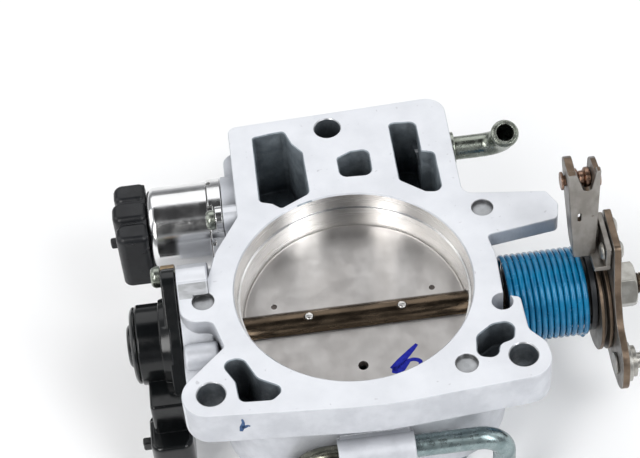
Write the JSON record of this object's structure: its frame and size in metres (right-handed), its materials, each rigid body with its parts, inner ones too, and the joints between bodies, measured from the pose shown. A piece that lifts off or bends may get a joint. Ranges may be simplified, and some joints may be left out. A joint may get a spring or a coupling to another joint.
{
  "type": "throttle body",
  "caption": "Cable-operated throttle body: cast housing with a round bore and butterfly valve, sprung cable lever, stepper idle valve and rotary position sensor.",
  "frame": {"origin": "centre of the bottom of the whole assembly's box, where the inlet neck's end stands", "axes": "+Z along the bore axis, out of the machined flange face; +X along the throttle shaft, towards the lever; +Y towards the ported side of the flange"},
  "size_m": [0.1804, 0.1343, 0.1055],
  "materials": {
    "cast_aluminium": "as-cast satin, machined on the flange face and in the bore",
    "shaft_bronze_brown": "ground steel with a brown conversion coat",
    "plate_brass": "rolled brass sheet, pale",
    "bearing_steel": "ground",
    "bright_plate": "bright nickel plate",
    "spring_blue": "blue coated spring wire",
    "zinc_plate": "zinc plated, olive tint",
    "lever_zinc": "zinc plated, brownish grey",
    "black_plastic": "moulded, fine texture",
    "sensor_plastic": "moulded, glossy",
    "black_rubber": "moulded",
    "copper": "copper, turned",
    "sintered_bronze": "sintered",
    "resistor_board": "printed board",
    "magnet": "sintered magnet"
  },
  "bodies": {
    "housing": {"throttle_housing": "cast_aluminium", "shaft_bearing_left": "bearing_steel", "shaft_bearing_right": "bearing_steel", "shaft_seal_left": "black_rubber", "shaft_seal_right": "black_rubber", "stop_screw": "zinc_plate", "stop_lock_nut": "zinc_plate", "idle_valve_can": "bright_plate", "idle_valve_base": "bright_plate", "idle_valve_seal": "black_rubber", "idle_valve_windings": "copper", "idle_valve_screw_1": "zinc_plate", "idle_valve_screw_2": "zinc_plate", "idle_valve_connector": "black_plastic", "idle_valve_terminal_1": "bearing_steel", "idle_valve_terminal_2": "bearing_steel", "idle_valve_terminal_3": "bearing_steel", "idle_valve_terminal_4": "bearing_steel", "sensor_body": "sensor_plastic", "sensor_cover": "sensor_plastic", "sensor_track": "resistor_board", "sensor_sleeve_1": "sintered_bronze", "sensor_sleeve_2": "sintered_bronze", "sensor_screw_1": "zinc_plate", "sensor_screw_2": "zinc_plate", "sensor_seal": "black_rubber", "sensor_terminal_1": "bearing_steel", "sensor_terminal_2": "bearing_steel", "sensor_terminal_3": "bearing_steel", "hose_nipple": "zinc_plate", "coolant_pipe_left": "zinc_plate", "coolant_pipe_right": "zinc_plate"},
    "throttle_valve": {"throttle_shaft": "shaft_bronze_brown", "throttle_plate": "plate_brass", "plate_screw_1": "bearing_steel", "plate_screw_2": "bearing_steel", "return_spring": "spring_blue", "spring_sleeve": "black_plastic", "lever_plate": "lever_zinc", "cable_cam": "lever_zinc", "cable_anchor": "lever_zinc", "cable_pin": "copper", "anchor_rivet_1": "lever_zinc", "anchor_rivet_2": "lever_zinc", "lever_washer": "lever_zinc", "lever_nut": "lever_zinc", "ball_stud": "lever_zinc", "sensor_rotor": "sintered_bronze"},
    "idle_rotor": {"idle_valve_rotor": "magnet"},
    "idle_pintle": {"idle_valve_pintle": "bearing_steel", "idle_valve_spring": "bearing_steel"}
  },
  "joints": [
    {"name": "throttle_turn", "type": "hinge", "parent": "housing", "child": "throttle_valve", "pos_m": [-0.0094, -0.0123, 0.0455], "axis": [1, 0, 0], "range_deg": [0, 82], "stiffness_Nm_per_rad": 0.2, "springref_deg": -57.3, "deforming": ["return_spring"]},
    {"name": "idle_rotor_turn", "type": "hinge", "parent": "housing", "child": "idle_rotor", "pos_m": [-0.0654, 0.0387, 0.044], "axis": [1, 0, 0], "range_deg": [0, 1800.1]},
    {"name": "idle_pintle_slide", "type": "slide", "parent": "housing", "child": "idle_pintle", "axis": [1, 0, 0], "range_m": [0, 0.006], "deforming": ["idle_valve_spring"]}
  ],
  "couplings": [
    {"joint": "idle_rotor_turn", "follows": "idle_pintle_slide", "rad_per_m": 5236}
  ]
}
